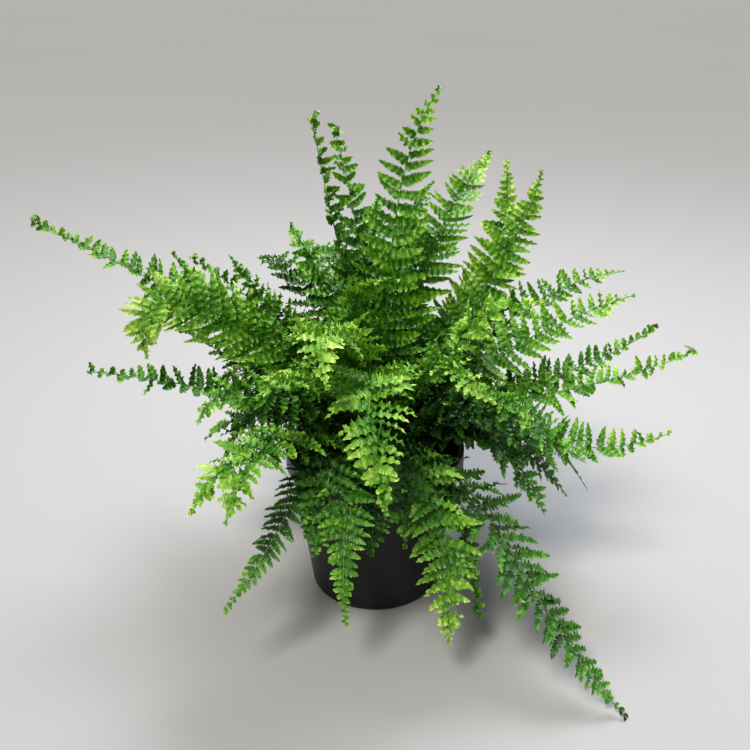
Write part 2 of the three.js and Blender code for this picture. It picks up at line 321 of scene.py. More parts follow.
# How the leaflets of a frond are shaped. Lengths in mm, angles in degrees.
# spacing: between leaflets of one row, and crowd: how far that closes up at the tip.
# taper: higher keeps the frond wide for longer. angle: to the rachis.
# fill: half a leaflet's width as a share of the spacing. blunt: higher gives a rounder end.
# foot: how far the leaflet's base laps over the rachis. least: the shortest leaflet.
# lobe: length of one lobe. cut: how deep the notches go. ruffle: how far the lobes stand up and
# down. keel: how far both edges rise. lean: how far the lobes lean forward.
# curl: end of the leaflet, up or down. lift and roll: how much leaflets differ in pose.
leafForms = {
    "ruffled": {
        "spacing": 4.3, "crowd": 0.5, "taper": 3.8, "angle": 75, "fill": 0.6, "blunt": 2.8, "foot": 0.9,
        "least": 2.4, "lobe": 1.1, "cut": 0.36, "ruffle": 1.2, "keel": 0.3, "lean": 0.2, "curl": -22,
        "lift": 20, "roll": 30,
    },
    "wavy": {
        "spacing": 4.5, "crowd": 0.5, "taper": 3.4, "angle": 76, "fill": 0.54, "blunt": 2.3, "foot": 0.3,
        "least": 2.6, "lobe": 1.2, "cut": 0.36, "ruffle": 1.3, "keel": 0.3, "lean": 0.3, "curl": 14,
        "lift": 14, "roll": 24,
    },
    "airy": {
        "spacing": 6.2, "crowd": 0.45, "taper": 3.2, "angle": 78, "fill": 0.38, "blunt": 2.4, "foot": 0.2,
        "least": 2.8, "lobe": 1.2, "cut": 0.36, "ruffle": 1.5, "keel": 0.5, "lean": 0.25, "curl": 30,
        "lift": 12, "roll": 32,
    },
    "feathered": {
        "spacing": 5.5, "crowd": 0.5, "taper": 3.2, "angle": 76, "fill": 0.5, "blunt": 1.9, "foot": 0.2,
        "least": 2.6, "lobe": 1.4, "cut": 0.46, "ruffle": 0.4, "keel": 0.15, "lean": 0.5, "curl": -8,
        "lift": 6, "roll": 10,
    },
    "toothed": {
        "spacing": 4.7, "crowd": 0.45, "taper": 2.0, "angle": 72, "fill": 0.52, "blunt": 2.1, "foot": 0.2,
        "least": 2.8, "lobe": 1.5, "cut": 0.52, "ruffle": 0.6, "keel": 0.2, "lean": 0.35, "curl": -10,
        "lift": 8, "roll": 14,
    },
    "lacy": {
        "spacing": 5.8, "crowd": 0.5, "taper": 2.3, "angle": 68, "fill": 0.54, "blunt": 2.8, "foot": 0.2,
        "least": 2.6, "lobe": 1.9, "cut": 0.68, "ruffle": 0.9, "keel": 0.3, "lean": 0.35, "curl": -18,
        "lift": 12, "roll": 26,
    },
    "fringed": {
        "spacing": 3.1, "crowd": 0.4, "taper": 5.0, "angle": 62, "fill": 0.66, "blunt": 2.2, "foot": 0.6,
        "least": 3.0, "lobe": 1.2, "cut": 0.36, "ruffle": 1.0, "keel": 0.2, "lean": 0.4, "curl": -30,
        "lift": 12, "roll": 20,
    },
    "beaded": {
        "spacing": 5.2, "crowd": 0.2, "taper": 2.8, "angle": 76, "fill": 0.39, "blunt": 3.4, "foot": 0.2,
        "least": 4.4, "lobe": 1.0, "cut": 0.28, "ruffle": 1.2, "keel": 0.4, "lean": 0.2, "curl": 30,
        "lift": 26, "roll": 34,
    },
}

# heading, reach, tip, crest, shoulder, sway and width as in the frame; the form of the leaflets
# near the base and near the tip; the tone from old (0) to young (1); the twist of the blade in
# degrees; the turns of the coil at the tip
frondRows = [
    (136, 43, 163, 108, 0.6, 4, 32, "ruffled", "beaded", 0.42, 30, 1.2),
    (45, 43, 177, 150, 0.12, -4, 40, "wavy", "airy", 0.55, 40, 0.3),
    (284, 44, 106, 92, 0.2, -34, 34, "ruffled", "ruffled", 0.5, 0, 0),
    (109, 66, 152, 112, 0.5, -5, 30, "ruffled", "beaded", 0.45, 0, 0.8),
    (173, 174, 114, 80, 0.6, -4, 30, "ruffled", "beaded", 0.5, -25, 0.9),
    (344, 84, 88, 80, 0.6, 8, 34, "ruffled", "ruffled", 0.6, 25, 0),
    (54, 108, 133, 122, 0.5, -8, 36, "ruffled", "wavy", 0.56, 20, 0.4),
    (27, 98, 136, 72, 0.96, 14, 34, "wavy", "wavy", 0.6, 50, 0),
    (127, 76, 99, 88, 0.6, 5, 28, "ruffled", "ruffled", 0.42, -10, 0.6),
    (197, 72, 111, 72, 0.7, 6, 32, "ruffled", "ruffled", 0.42, -35, 0),
    (262, 128, 92, 122, 0.7, -22, 44, "ruffled", "ruffled", 0.6, 0, 0),
    (158, 104, 88, 72, 0.7, -6, 24, "ruffled", "beaded", 0.4, -20, 0.5),
    (88, 60, 118, 104, 0.45, 5, 32, "ruffled", "ruffled", 0.35, 10, 0),
    (306, 90, 58, 84, 0.55, -14, 34, "ruffled", "ruffled", 0.55, 0, 0),
    (43, 97, 137, 68, 1, -16, 34, "wavy", "wavy", 0.62, 40, 0),
    (112, 98, 78, 98, 0.62, -6, 34, "wavy", "wavy", 0.38, 0, 0),
    (17, 149, 67, 58, 0.6, -6, 38, "wavy", "airy", 0.58, 30, 0),
    (68, 88, 120, 110, 0.55, 8, 34, "ruffled", "ruffled", 0.4, 0, 0),
    (241, 104, 70, 76, 0.65, 6, 40, "ruffled", "ruffled", 0.54, 0, 0),
    (193, 114, 60, 123, 1.1, 0, 42, "fringed", "fringed", 0.62, -65, 0),
    (0, 162, 51, 16, 0.6, 6, 34, "wavy", "beaded", 0.54, 15, 0.4),
    (166, 108, 95, 70, 0.8, 5, 26, "ruffled", "ruffled", 0.42, -20, 0.3),
    (215, 101, 40, 68, 0.82, -5, 36, "ruffled", "ruffled", 0.45, -15, 0),
    (96, 162, 44, 92, 0.65, -10, 34, "feathered", "feathered", 0.35, 0, 0),
    (123, 130, 66, 88, 0.6, 6, 36, "airy", "airy", 0.2, 0, 0),
    (272, 128, 36, 112, 0.74, -12, 46, "ruffled", "ruffled", 0.56, 0, 0),
    (29, 166, 68, 70, 0.64, 8, 34, "airy", "airy", 0.48, 20, 0),
    (325, 92, 30, 62, 0.7, 6, 36, "ruffled", "ruffled", 0.45, 0, 0),
    (76, 146, 68, 98, 0.62, 8, 34, "wavy", "wavy", 0.38, 0, 0),
    (58, 138, 0, 62, 0.74, -8, 34, "wavy", "wavy", 0.4, 0, 0),
    (10, 152, 53, 24, 0.65, -6, 26, "wavy", "beaded", 0.42, 20, 0.4),
    (237, 120, 13, 52, 0.8, -6, 40, "ruffled", "ruffled", 0.56, 0, 0),
    (143, 156, 28, 72, 0.66, 6, 32, "feathered", "feathered", 0.35, 0, 0),
    (160, 118, 50, 34, 0.62, 6, 30, "ruffled", "beaded", 0.3, 0, 0),
    (188, 145, 50, 38, 0.62, -5, 30, "wavy", "beaded", 0.4, -20, 0),
    (353, 154, 15, -10, 0.62, -12, 40, "wavy", "airy", 0.5, 15, 0),
    (340, 112, 8, 30, 0.66, 6, 38, "ruffled", "wavy", 0.42, 10, 0),
    (261, 90, -51, 24, 0.92, -5, 30, "wavy", "toothed", 0.5, 0, 0),
    (205, 92, 22, 44, 0.72, 6, 32, "ruffled", "ruffled", 0.4, 0, 0),
    (226, 120, 9, 50, 0.78, 6, 40, "ruffled", "ruffled", 0.56, 0, 0),
    (118, 104, -32, 46, 0.86, 8, 32, "ruffled", "ruffled", 0.4, 0, 0),
    (280, 80, -14, 44, 0.86, 5, 32, "ruffled", "ruffled", 0.4, 0, 0),
    (38, 126, -14, 40, 0.76, 6, 32, "feathered", "feathered", 0.35, 0, 0),
    (20, 92, -52, 22, 0.8, -5, 28, "feathered", "feathered", 0.2, 0, 0),
    (243, 74, -18, 30, 0.82, 5, 30, "ruffled", "ruffled", 0.36, 0, 0),
    (306, 88, -62, 8, 0.86, -5, 20, "ruffled", "beaded", 0.45, 0, 0),
    (5, 120, -37, 14, 0.74, 6, 30, "feathered", "feathered", 0.22, 0, 0),
    (176, 84, -22, 32, 0.8, 6, 32, "ruffled", "ruffled", 0.35, 0, 0),
    (86, 110, -28, 50, 0.82, 5, 32, "ruffled", "ruffled", 0.4, 0, 0),
    (330, 98, -16, 20, 0.76, 5, 34, "wavy", "wavy", 0.32, 0, 0),
    (150, 112, -8, 48, 0.78, -6, 34, "wavy", "wavy", 0.38, 0, 0),
    (268, 70, -26, 22, 0.88, 5, 28, "wavy", "wavy", 0.3, 0, 0),
    (290, 101, -58, 14, 0.88, 6, 38, "ruffled", "wavy", 0.62, 0, 0),
    (233, 117, -40, -6, 0.7, 14, 30, "toothed", "toothed", 0.34, 0, 0),
    (348, 104, -22, 16, 0.72, -5, 32, "feathered", "feathered", 0.3, 0, 0),
    (249, 80, -22, 36, 0.86, 5, 34, "wavy", "wavy", 0.38, 0, 0),
    (316, 164, "surface", "surface", 0.68, -17, 40, "lacy", "lacy", 0.34, 0, 0),
]


def spineOf(row, order):
    # the midline: a cubic curve from the rootstock over the crest to the tip, in even steps
    heading, reach, tip, crest, shoulder, sway = row[:6]
    if tip == "surface":
        tip = frondPlan["onSurface"]
        crest = frondPlan["onSurface"] + frondPlan["trailingArch"]
    share = (order + 0.5) / len(frondRows)
    rootRadius = crownRadius / mm
    start = (rootRadius - frondPlan["rootstockMargin"]) * math.sqrt(share)
    spread = frondPlan["innerSpread"] + (frondPlan["outerSpread"] - frondPlan["innerSpread"]) * share
    foot = frondPlan["seat"] - frondPlan["dome"] * (start / rootRadius) ** 2
    rise = max(frondPlan["riseShare"] * crest, frondPlan["leastRise"])
    poles = np.array([
        (start, 0, foot),
        (start + spread * reach, 0, foot + rise),
        (shoulder * reach, sway, crest),
        (reach, 0, tip),
    ])
    t = np.linspace(0, 1, frondPlan["samples"])[:, None]
    curve = (
        (1 - t) ** 3 * poles[0] + 3 * (1 - t) ** 2 * t * poles[1]
        + 3 * (1 - t) * t ** 2 * poles[2] + t ** 3 * poles[3]
    )
    angle = math.radians(heading)
    out = np.array([math.cos(angle), math.sin(angle), 0.0])
    across = np.array([-math.sin(angle), math.cos(angle), 0.0])
    world = curve[:, :1] * out + curve[:, 1:2] * across + curve[:, 2:] * np.array([0.0, 0.0, 1.0])
    world[:, 2] += crownTop / mm
    return evenly(world, frondPlan["step"]), across


def evenly(points, step):
    gone = np.concatenate([[0], np.cumsum(np.linalg.norm(np.diff(points, axis=0), axis=1))])
    marks = np.linspace(0, gone[-1], max(int(round(gone[-1] / step)), 2) + 1)
    return np.stack([np.interp(marks, gone, points[:, k]) for k in range(3)], 1)


def coiledTip(points, turns):
    # a fiddlehead: the end of the midline winds up into a flat spiral above the blade
    if not turns:
        return points
    tangent = unit(points[-1] - points[-4])
    up = np.array([0.0, 0.0, 1.0])
    normal = unit(up - up @ tangent * tangent)
    count = int(coilPlan["stepsPerTurn"] * turns) + coilPlan["leastSteps"]
    angle = np.linspace(0, 2 * math.pi * turns, count)
    radius = coilPlan["radius"] * (1 - coilPlan["tightening"] * angle / angle[-1])
    direction = np.cos(angle)[:, None] * tangent + np.sin(angle)[:, None] * normal
    steps = direction * (radius * (angle[1] - angle[0]))[:, None]
    coil = points[-1] + np.cumsum(steps, axis=0)
    return evenly(np.concatenate([points, coil]), frondPlan["step"])


def framesAlong(points, across, twist):
    # at each point the way on, the way to the side and the way up from the blade
    tangent = unit(np.gradient(points, axis=0))
    side = unit(across - (tangent @ across)[:, None] * tangent)
    normal = np.cross(tangent, side)
    along = np.linspace(0, 1, len(points))
    turn = math.radians(twist) * smooth(frondPlan["twistFrom"], frondPlan["twistTo"], along)[:, None]
    return (
        tangent,
        side * np.cos(turn) + normal * np.sin(turn),
        normal * np.cos(turn) - side * np.sin(turn),
    )


def bladeShare(along, taper):
    # length of the leaflets along the frond, as a share of the longest
    onBlade = np.clip((along - frondPlan["bareShare"]) / (1 - frondPlan["bareShare"]), 0, 1)
    opening = frondPlan["bladeFoot"] + frondPlan["bladeGain"] * smooth(0, frondPlan["bladeStart"], onBlade)
    return opening * (1 - onBlade ** taper)


def makeRachis(points, side, normal):
    # a thin tapering tube with a shallow groove along its underside
    last = len(points) - 1
    keep = np.unique(np.linspace(0, last, len(points) // frondPlan["ringEvery"] + 2).astype(int))
    along = keep / last
    thickening = (frondPlan["stipeRadius"] - frondPlan["tipRadius"]) * (1 - along) ** frondPlan["stipePower"]
    radius = frondPlan["tipRadius"] + thickening
    around = np.linspace(0, 2 * math.pi, frondPlan["sides"] + 1)
    fromGroove = (np.cos(around / 2 - math.pi / 4)) ** 2
    groove = 1 - frondPlan["grooveDepth"] * np.exp(-fromGroove * frondPlan["grooveNarrowness"])
    ring = (np.cos(around) * groove)[None, :, None] * side[keep][:, None]
    ring = ring + (np.sin(around) * groove)[None, :, None] * normal[keep][:, None]
    tube = points[keep][:, None] + radius[:, None, None] * ring
    rows, columns = tube.shape[:2]
    flat = np.stack(np.meshgrid(along, np.linspace(0, 1, columns), indexing="ij"), -1)
    green = np.clip(along * frondPlan["greening"], 0, 1)[:, None].repeat(columns, 1)
    data = np.stack([np.full_like(green, 0.5), np.ones_like(green), green, np.ones_like(green)], -1)
    return tube.reshape(-1, 3), gridFaces(rows, columns, flip=True), data.reshape(-1, 4), flat.reshape(-1, 2)


columnPlaces = np.array([-1.0, -0.62, 0.0, 0.62, 1.0])  # across a leaflet, from edge to edge
lobeSteps = np.array([0.0, 0.22, 0.5, 0.78])  # rows of points along one lobe

# how every leaflet is built, whatever its form
leafletPlan = {
    # its way out from the rachis; a draw is a mean and a spread, and the sickle is in degrees
    "angleDrift": 0.3, "liftDraw": (0.45, 0.8), "rollDraw": (0.35, 0.7), "curlDraw": (1.0, 0.7),
    "curlPower": 1.6, "sickleDraw": (12, 9), "footLift": 0.4,
    # its outline: a narrower foot with an ear on one side, and notches between the lobes
    "widest": 0.42, "neck": 0.6, "neckGain": 0.4, "neckEnd": 0.1, "endPower": 0.75, "uncutFoot": 0.12,
    "notchPower": 3, "ear": 0.35, "earLength": 0.14, "widthDrift": 0.09, "leanLoss": 0.6,
    # how the lobes stand up and down, one by one and in a wave
    "tiltHeave": 0.13, "waveHeave": 0.42, "waveStart": 6.28, "waveStep": 1.9, "heavePower": 1.4,
    "notchCalm": 0.3, "notchDip": 0.2,
    # its tone: painted shade makes it darker deep in the plant, where the older inner leaves are also a
    # deeper green; lighter to the tip; lighter to the edges, partly paler margins and partly a painted
    # highlight; each lobe a little lighter as it tilts up, a painted light; distances in mm
    "darkFrom": 15, "lightFrom": 95, "toneLoss": 0.14, "paintedShadeLoss": 0.27, "tipGain": 0.26,
    "edgePaleAndHighlight": 0.14, "edgePower": 2.5, "notchLoss": 0.6, "paintedTiltLight": 0.06,
    "ribWood": 0.22, "ribGreen": 0.9,
}


def leafletCourse(root, axes, hand, length, form, along, rng):
    # the midrib's points, and at each the way on, the way out to one edge and the way up
    tangent, side, normal = axes
    plan = leafletPlan
    angle = math.radians(form["angle"] + plan["angleDrift"] * form["roll"] * rng.normal())
    lift = math.radians(form["lift"] * rng.normal(*plan["liftDraw"]))
    roll = math.radians(form["roll"] * rng.normal(*plan["rollDraw"]))
    way = math.cos(angle) * tangent + math.sin(angle) * hand * side
    way = math.cos(lift) * way + math.sin(lift) * normal
    forward = unit(tangent - (tangent @ way) * way)
    face = np.cross(forward, way) * hand
    forward, face = (
        math.cos(roll) * forward + math.sin(roll) * face,
        math.cos(roll) * face - math.sin(roll) * forward,
    )

    curl = math.radians(form["curl"] * rng.normal(*plan["curlDraw"])) * along ** plan["curlPower"]
    sickle = math.radians(rng.normal(*plan["sickleDraw"])) * along
    heading = unit(
        (np.cos(curl) * np.cos(sickle))[:, None] * way
        + np.sin(sickle)[:, None] * forward + np.sin(curl)[:, None] * face
    )
    step = np.diff(along, prepend=0)[:, None] * length
    foot = root - form["foot"] * hand * side + plan["footLift"] * form["foot"] * normal
    middle = foot + np.cumsum(heading * step, axis=0)
    up = unit(face - np.sum(heading * face, 1)[:, None] * heading)
    return middle, heading, np.cross(up, heading) * hand, up


def leafletColours(middle, along, toEdge, notch, tilt, tone):
    plan = leafletPlan
    distance = np.linalg.norm(middle - [0, 0, crownTop / mm], axis=1)
    # painted shade: darker the nearer the leaflet is to the middle of the plant, where the older inner leaves
    # are also a deeper green
    inside = 1 - smooth(plan["darkFrom"], plan["lightFrom"], distance)[:, None]
    # paler margins, partly a painted highlight along the lobes' edges
    edge = toEdge ** plan["edgePower"] * (1 - plan["notchLoss"] * notch)[:, None]
    shade = (
        tone - plan["toneLoss"] - plan["paintedShadeLoss"] * inside + plan["tipGain"] * along[:, None]
        # painted light: each lobe a little lighter as it tilts up and darker as it tilts down
        + plan["edgePaleAndHighlight"] * edge + plan["paintedTiltLight"] * tilt
    )
    rib = np.where(toEdge == 0, plan["ribWood"], 0.0) * (1 - along[:, None]) + 0 * shade
    return np.stack([shade, rib, np.full_like(shade, plan["ribGreen"]), np.ones_like(shade)], -1)


def makeLeaflet(root, axes, hand, length, gap, form, tone, rng):
    # one pinna: a bent strip whose edges are cut into lobes, each tilted its own way
    plan = leafletPlan
    lobes = max(2, int(round(length / form["lobe"])))
    phase = np.concatenate([np.tile(lobeSteps, lobes), [0.5, 1.0]])
    lobe = np.concatenate([np.repeat(np.arange(lobes), len(lobeSteps)), [lobes, lobes]])
    along = (lobe + phase) / (lobes + 1.0)
    along = along / along[-1]
    middle, heading, out, up = leafletCourse(root, axes, hand, length, form, along, rng)

    half = min(form["fill"] * gap, plan["widest"] * length)
    neck = plan["neck"] + plan["neckGain"] * smooth(0, plan["neckEnd"], along)
    outline = neck * np.clip(1 - along ** form["blunt"], 0, 1) ** plan["endPower"]
    notch = np.abs(2 * phase - 1) ** plan["notchPower"]
    width = half * outline * (1 - form["cut"] * notch * smooth(0.0, plan["uncutFoot"], along))
    places = columnPlaces[None, :]
    toEdge = np.abs(places)
    ear = np.where(places * hand > 0, plan["ear"], 0.0) * np.exp(-(along[:, None] / plan["earLength"]) ** 2)
    tilts = rng.normal(0, 1, (2, lobes + 1))
    tilt = np.where(places < 0, tilts[0][lobe][:, None], tilts[1][lobe][:, None])
    wave = rng.uniform(0, plan["waveStart"], 2)
    swing = np.sin(plan["waveStep"] * (lobe + phase)[:, None] + np.where(places < 0, wave[0], wave[1]))
    ruffle = form["ruffle"] * (plan["tiltHeave"] * tilt + plan["waveHeave"] * swing)
    heave = ruffle * toEdge ** plan["heavePower"] * (1 - plan["notchCalm"] * notch)[:, None]
    heave = heave - plan["notchDip"] * notch[:, None] * toEdge + form["keel"] * toEdge ** 2
    across = width[:, None] * places * (1 + ear) * (1 + plan["widthDrift"] * tilt)
    lean = form["lean"] * width[:, None] * toEdge * (1 - plan["leanLoss"] * along[:, None])
    grid = (
        middle[:, None] + across[..., None] * out[:, None]
        + lean[..., None] * heading[:, None] + (width[:, None] * heave)[..., None] * up[:, None]
    )
    data = leafletColours(middle, along, toEdge, notch, tilt, tone)
    flat = np.stack(np.broadcast_arrays(along[:, None], 0.5 + 0.5 * places), -1)
    faces = gridFaces(len(along), len(columnPlaces), flip=hand > 0)
    return grid.reshape(-1, 3), faces, data.reshape(-1, 4), flat.reshape(-1, 2)


def mixForms(lower, upper, share):
    return {name: lower[name] + (upper[name] - lower[name]) * share for name in lower}


def leafletRow(row, hand, points, straight, axes, habit, rng):
    # the leaflets down one side; straight: how many of the points come before the coil
    _, _, tip, _, _, _, width, lowerForm, upperForm, tone, _, _ = row
    plan = frondPlan
    lower, upper = leafForms[lowerForm], leafForms[upperForm]
    total = len(points) - 1
    place = plan["bareShare"] * straight + (0.5 + 0.5 * hand) * lower["spacing"]
    while place < total:
        along = place / total
        form = mixForms(lower, upper, smooth(plan["formFrom"], plan["formTo"], along))
        share = float(bladeShare(np.array(along), form["taper"]))
        span = 0.5 * width * plan["fullness"] * share * (1 + rng.normal(0, plan["lengthDrift"]))
        length = span / math.sin(math.radians(form["angle"]))
        length = max(length, form["least"] * (1 + rng.normal(0, plan["leastDrift"])))
        young = tone + plan["youngGain"] * smooth(plan["youngFrom"], 1.0, along)
        young = young + rng.normal(0, plan["toneDrift"])
        if tip == "surface":  # the end that touches down has withered
            young = young - plan["witheredLoss"] * smooth(plan["withered"], 1.0, along)
        gap = habit * form["spacing"] * (1 - form["crowd"] * (1 - share ** plan["gapPower"]))
        gap = gap * (1 + rng.normal(0, plan["gapDrift"]))
        k = int(place)
        here = [axis[k] for axis in axes]
        yield makeLeaflet(points[k], here, hand, length, gap, form, young, rng)
        place += max(gap, plan["leastGap"]) / plan["step"]


def makeFrond(row, order):
    twist, turns = row[-2:]
    rng = np.random.default_rng(frondPlan["seed"] + order)
    habit = rng.uniform(*frondPlan["habit"])  # leaflets closer or further apart than in most fronds
    points, across = spineOf(row, order)
    straight = len(points)
    points = coiledTip(points, turns)
    axes = framesAlong(points, across, twist)
    parts = [makeRachis(points, *axes[1:])]
    for hand in (1, -1):
        parts += leafletRow(row, hand, points, straight, axes, habit, rng)

    # each part has a square of its own on the flat map
    cells = math.ceil(math.sqrt(len(parts)))
    margin, share = frondPlan["mapMargin"], frondPlan["mapShare"]
    flat = [
        (np.array([k % cells, k // cells]) + margin + share * part[3]) / cells
        for k, part in enumerate(parts)
    ]
    name = f"frond_{order + 1:02d}"
    verts, faces, data = joined([part[:3] for part in parts])
    verts = verts * mm
    verts[:, 2] = np.maximum(verts[:, 2], frondPlan["clearance"] * mm)  # no leaflet goes below the surface
    piece = meshPiece(name + "_leaf", verts, faces, leafMaterial, data, np.concatenate(flat))
    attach(piece, "root")
    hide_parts(name)
    return len(piece.data.polygons)


faceCount = sum(makeFrond(row, order) for order, row in enumerate(frondRows))
print(f"{len(frondRows)} fronds, {faceCount} faces")


# ---- shared by the rootstock, the soil and the pot

def lumps(point, waves):
    # uneven ground: the sum of noises, each with its height in mm and how close its bumps are
    return sum(height * noise.noise(Vector(point) * closeness) for height, closeness in waves)


def toneColours(tone):
    return np.stack([tone, 0 * tone, 0 * tone, 0 * tone + 1], -1)


def triangles(quads):
    return np.concatenate([quads[:, [0, 1, 2]], quads[:, [0, 2, 3]]])


def lathe(outline, around):
    # outline: radius and height from the bottom of the axis round to the top of the axis
    outline = np.asarray(outline, float)
    angle = np.linspace(0, 2 * math.pi, around, endpoint=False)
    ring = np.stack([np.cos(angle), np.sin(angle)], -1)
    body = outline[1:-1]
    heights = np.broadcast_to(body[:, None, 1:], (len(body), around, 1))
    wall = np.concatenate([body[:, None, :1] * ring[None], heights], -1).reshape(-1, 3)
    verts = np.concatenate([wall, [(0, 0, outline[0, 1]), (0, 0, outline[-1, 1])]])
    index = np.arange(len(body) * around).reshape(len(body), around)
    turned = np.roll(index, -1, 1)
    quads = np.stack([index[:-1], turned[:-1], turned[1:], index[1:]], -1).reshape(-1, 4)
    low, high = len(verts) - 2, len(verts) - 1
    caps = np.concatenate([
        np.stack([np.full(around, low), turned[0], index[0]], -1),
        np.stack([np.full(around, high), index[-1], turned[-1]], -1),
    ])
    return verts, quads, caps


# ---- rootstock

# mm; scales and stubs stand on a low uneven dome and are sunk a little into it
rootPlan = {
    "seed": 41, "rings": 40, "around": 120, "domeSink": 0.5, "domeTone": 0.15,
    "waves": [(0.45, 0.35), (0.2, 1.1)],
    "scales": 2600, "scaleLength": (2.6, 5.2), "scaleWidth": 0.75, "scaleSink": 0.7,
    "scaleTurn": 0.9, "scaleRise": (0.15, 0.35), "scaleRidge": 0.16,
    "scaleTones": (0.25, 0.95), "tipPaler": 0.15,
    "stubs": 16, "stubLength": (4.0, 11.0), "stubThickness": (0.7, 1.0), "stubSink": 0.6,
    "stubTilt": 0.6, "stubDrift": 0.2, "stubPlaces": (0.1, 0.85), "stubSides": 8,
}


def domeHeight(radius):
    share = np.clip(radius / (crownRadius / mm), 0, 1)
    return crownLow.z / mm + frondPlan["edge"] + frondPlan["dome"] * (1 - share ** 2)


def makeScale(plan, edge, rng):
    # one papery scale: a pointed strip with a ridge, partly lifted off the dome
    radius = edge * math.sqrt(rng.uniform(0, 1))
    angle = rng.uniform(0, 2 * math.pi)
    foot = polar(radius, angle, domeHeight(radius) - plan["scaleSink"])
    slope = 2 * frondPlan["dome"] * radius / edge ** 2
    outward = polar(1, angle, -slope)
    turn = angle + rng.normal(0, plan["scaleTurn"])
    way = unit(polar(1, turn, -slope + abs(rng.normal(*plan["scaleRise"]))))
    up = unit(np.cross(outward, [-math.sin(angle), math.cos(angle), 0]))
    across = unit(np.cross(way, up))
    up = np.cross(across, way)
    length = rng.uniform(*plan["scaleLength"])
    along = np.array([0, 0.3, 0.65, 1.0])[:, None]
    half = plan["scaleWidth"] * np.array([0.5, 1.0, 0.6, 0.04])[:, None] * rng.uniform(0.6, 1.1)
    middle = foot + along * length * way + (0.4 + 0.5 * along ** 2) * up * rng.uniform(0.3, 1.3)
    strip = middle[:, None] + np.stack([-half, 0 * half, half], 1) * across
    strip[:, 1] += plan["scaleRidge"] * up
    rows, columns = strip.shape[:2]
    tone = rng.uniform(*plan["scaleTones"]) + plan["tipPaler"] * np.repeat(along, columns, 1).reshape(-1)
    return strip.reshape(-1, 3), triangles(gridFaces(rows, columns)), toneColours(tone)


def makeStub(plan, edge, rng):
    # the foot of a frond cut off long ago: a short tapering tube, closed at the top
    radius = edge * math.sqrt(rng.uniform(*plan["stubPlaces"]))
    angle = rng.uniform(0, 2 * math.pi)
    foot = polar(radius, angle, domeHeight(radius) - plan["stubSink"])
    lean = np.array([plan["stubTilt"] * math.cos(angle), plan["stubTilt"] * math.sin(angle), 1.0])
    way = unit(lean + rng.normal(0, plan["stubDrift"], 3))
    side = unit(np.cross(way, [0.3, 0.9, 0.1]))
    thick = rng.uniform(*plan["stubThickness"])
    turn = np.linspace(0, 2 * math.pi, plan["stubSides"] + 1)
    ring = np.cos(turn)[:, None] * side + np.sin(turn)[:, None] * np.cross(way, side)
    tall = rng.uniform(*plan["stubLength"]) * np.array([0, 0.5, 0.97, 1.0, 1.0])
    wide = thick * np.array([1.15, 1.0, 0.95, 0.75, 0.0])
    tube = foot + tall[:, None, None] * way + wide[:, None, None] * ring[None]
    rows, columns = tube.shape[:2]
    tone = np.repeat([0.2, 0.45, 0.5, 0.8, 0.9], columns)
    return tube.reshape(-1, 3), triangles(gridFaces(rows, columns, flip=True)), toneColours(tone)


def makeRootstock(plan):
    # a low crown under overlapping papery scales, with the stubs of old fronds
    rng = np.random.default_rng(plan["seed"])
    edge, bottom = crownRadius / mm, crownLow.z / mm
    outline = [(0, bottom), (edge, bottom)]
    outline += [(r, domeHeight(r) - plan["domeSink"]) for r in np.linspace(edge, 0, plan["rings"])]
    verts, quads, caps = lathe(outline, plan["around"])
    for i, point in enumerate(verts):
        if point[2] > bottom + 1:
            verts[i, 2] += lumps(point, plan["waves"])
    dark = toneColours(np.full(len(verts), plan["domeTone"]))
    parts = [(verts, np.concatenate([triangles(quads), caps]), dark)]
    parts += [makeScale(plan, edge, rng) for _ in range(plan["scales"])]
    parts += [makeStub(plan, edge, rng) for _ in range(plan["stubs"])]
    points, faces, data = joined(parts)
    points[:, 2] = np.maximum(points[:, 2], bottom)
    piece = meshPiece("rootstock_scales", points * mm, faces, scaleMaterial, data)
    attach(piece, "root")
    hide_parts("rootstock")


# dry papery scales: dark to rust brown, paler to the tip, with a faint silky mottle
scaleLook = {
    "tones": [(0.0, "#1d120a"), (0.4, "#4a2d16"), (0.75, "#7a5029"), (1.0, "#b08a58")], "roughness": 0.7,
    "fibre": 1.4, "detail": 4.0, "fineness": 0.5, "mottle": 0.18, "bump": 0.6, "bumpDepth": 0.3,
}
scaleMaterial = makeBrownMaterial("papery scales", scaleLook)
makeRootstock(rootPlan)
print("rootstock ready")


# ---- pot's sizes, and the potting soil in it

# wall, rim band and holes as in the frame; mm
potPlan = {
    "wall": 1.2, "floor": 1.6, "bandHeight": 10.0, "bandStep": 1.6, "baseRadius": 35.0, "baseRounding": 2.0,
    "rimRounding": 0.6, "holes": 8, "holeRadius": 4.0, "holeCircle": 24.0, "soilDrop": 6.0, "around": 192,
    "roundSteps": 5, "ringHeights": (18, 56), "ringWidth": 0.5, "ringDepth": 0.18, "wallSteps": 60,
    "insideSteps": 24, "floorInner": 8, "floorOuter": 33, "floorSteps": 4, "drillSides": 32,
}
potRim = potHigh.x / mm
potTop = potHigh.z / mm
soilTop = potTop - potPlan["soilDrop"]


def potOutside(height):
    neck = potRim - potPlan["bandStep"]
    return potPlan["baseRadius"] + (neck - potPlan["baseRadius"]) * height / potTop


def potInside(height):
    return potOutside(height) - potPlan["wall"]


# mm; each kind of crumb with how many, its size, tone and how flat it is
soilPlan = {
    "seed": 77, "rings": 44, "around": 180, "wallGap": 0.35, "bedTone": 0.25, "bedDrop": 0.3,
    "waves": [(0.75, 0.22), (0.4, 0.8)], "stoneDetail": 1, "stoneRoughness": 0.22, "stoneSink": 0.1,
    "peat": {"count": 1500, "size": (0.35, 1.25), "tones": (0.05, 0.5), "flatness": (0.6, 1.0)},
    "bark": {"count": 110, "size": (1.2, 2.8), "tones": (0.45, 0.75), "flatness": (0.35, 0.6)},
    "perlite": {"count": 90, "size": (0.5, 1.2), "tones": (0.96, 1.0), "flatness": (0.6, 1.0)},
}


